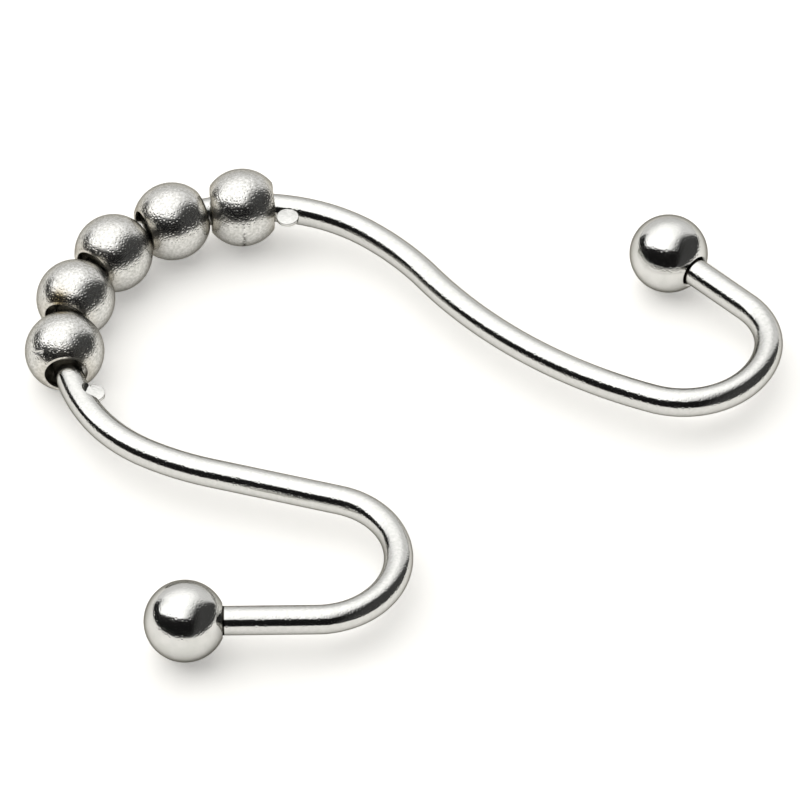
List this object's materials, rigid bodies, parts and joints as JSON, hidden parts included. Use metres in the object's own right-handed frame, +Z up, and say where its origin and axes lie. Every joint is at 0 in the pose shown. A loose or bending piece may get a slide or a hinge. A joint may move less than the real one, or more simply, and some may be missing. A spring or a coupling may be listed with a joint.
{
  "type": "shower curtain hook",
  "caption": "Double shower curtain hook bent from one round wire, with rolling balls on its arch and a ball on the tip of each of its two hooks.",
  "frame": {"origin": "on the table, under the middle of the whole hook as it lies flat on its balls", "axes": "+X from the short hook to the long hook, +Y from the hooks up to the arch, +Z up from the table, along the curtain rod"},
  "size_m": [0.0916, 0.0782, 0.0095],
  "materials": {
    "satin_wire": "satin nickel plate on drawn steel wire",
    "satin_roller": "grainy satin nickel plate on a pressed steel shell",
    "satin_tip_ball": "satin nickel plate on a solid steel ball"
  },
  "bodies": {
    "hook": {"bent_wire": "satin_wire", "long_hook_ball": "satin_tip_ball", "short_hook_ball": "satin_tip_ball"},
    "roller_1_body": {"roller_1": "satin_roller"},
    "roller_2_body": {"roller_2": "satin_roller"},
    "roller_3_body": {"roller_3": "satin_roller"},
    "roller_4_body": {"roller_4": "satin_roller"},
    "roller_5_body": {"roller_5": "satin_roller"}
  },
  "joints": [
    {"name": "roller_1_spin", "type": "hinge", "parent": "hook", "child": "roller_1_body", "pos_m": [0.01352, 0.02772, 0.00475], "axis": [0.705, -0.7092, 0], "continuous": true},
    {"name": "roller_2_spin", "type": "hinge", "parent": "hook", "child": "roller_2_body", "pos_m": [0.0062, 0.03263, 0.00475], "axis": [0.9233, -0.3841, 0], "continuous": true},
    {"name": "roller_3_spin", "type": "hinge", "parent": "hook", "child": "roller_3_body", "pos_m": [-0.00244, 0.03435, 0.00475], "axis": [1, 0, 0], "continuous": true},
    {"name": "roller_4_spin", "type": "hinge", "parent": "hook", "child": "roller_4_body", "pos_m": [-0.01108, 0.03263, 0.00475], "axis": [0.9233, 0.3841, 0], "continuous": true},
    {"name": "roller_5_spin", "type": "hinge", "parent": "hook", "child": "roller_5_body", "pos_m": [-0.01839, 0.02772, 0.00475], "axis": [0.705, 0.7092, 0], "continuous": true}
  ]
}
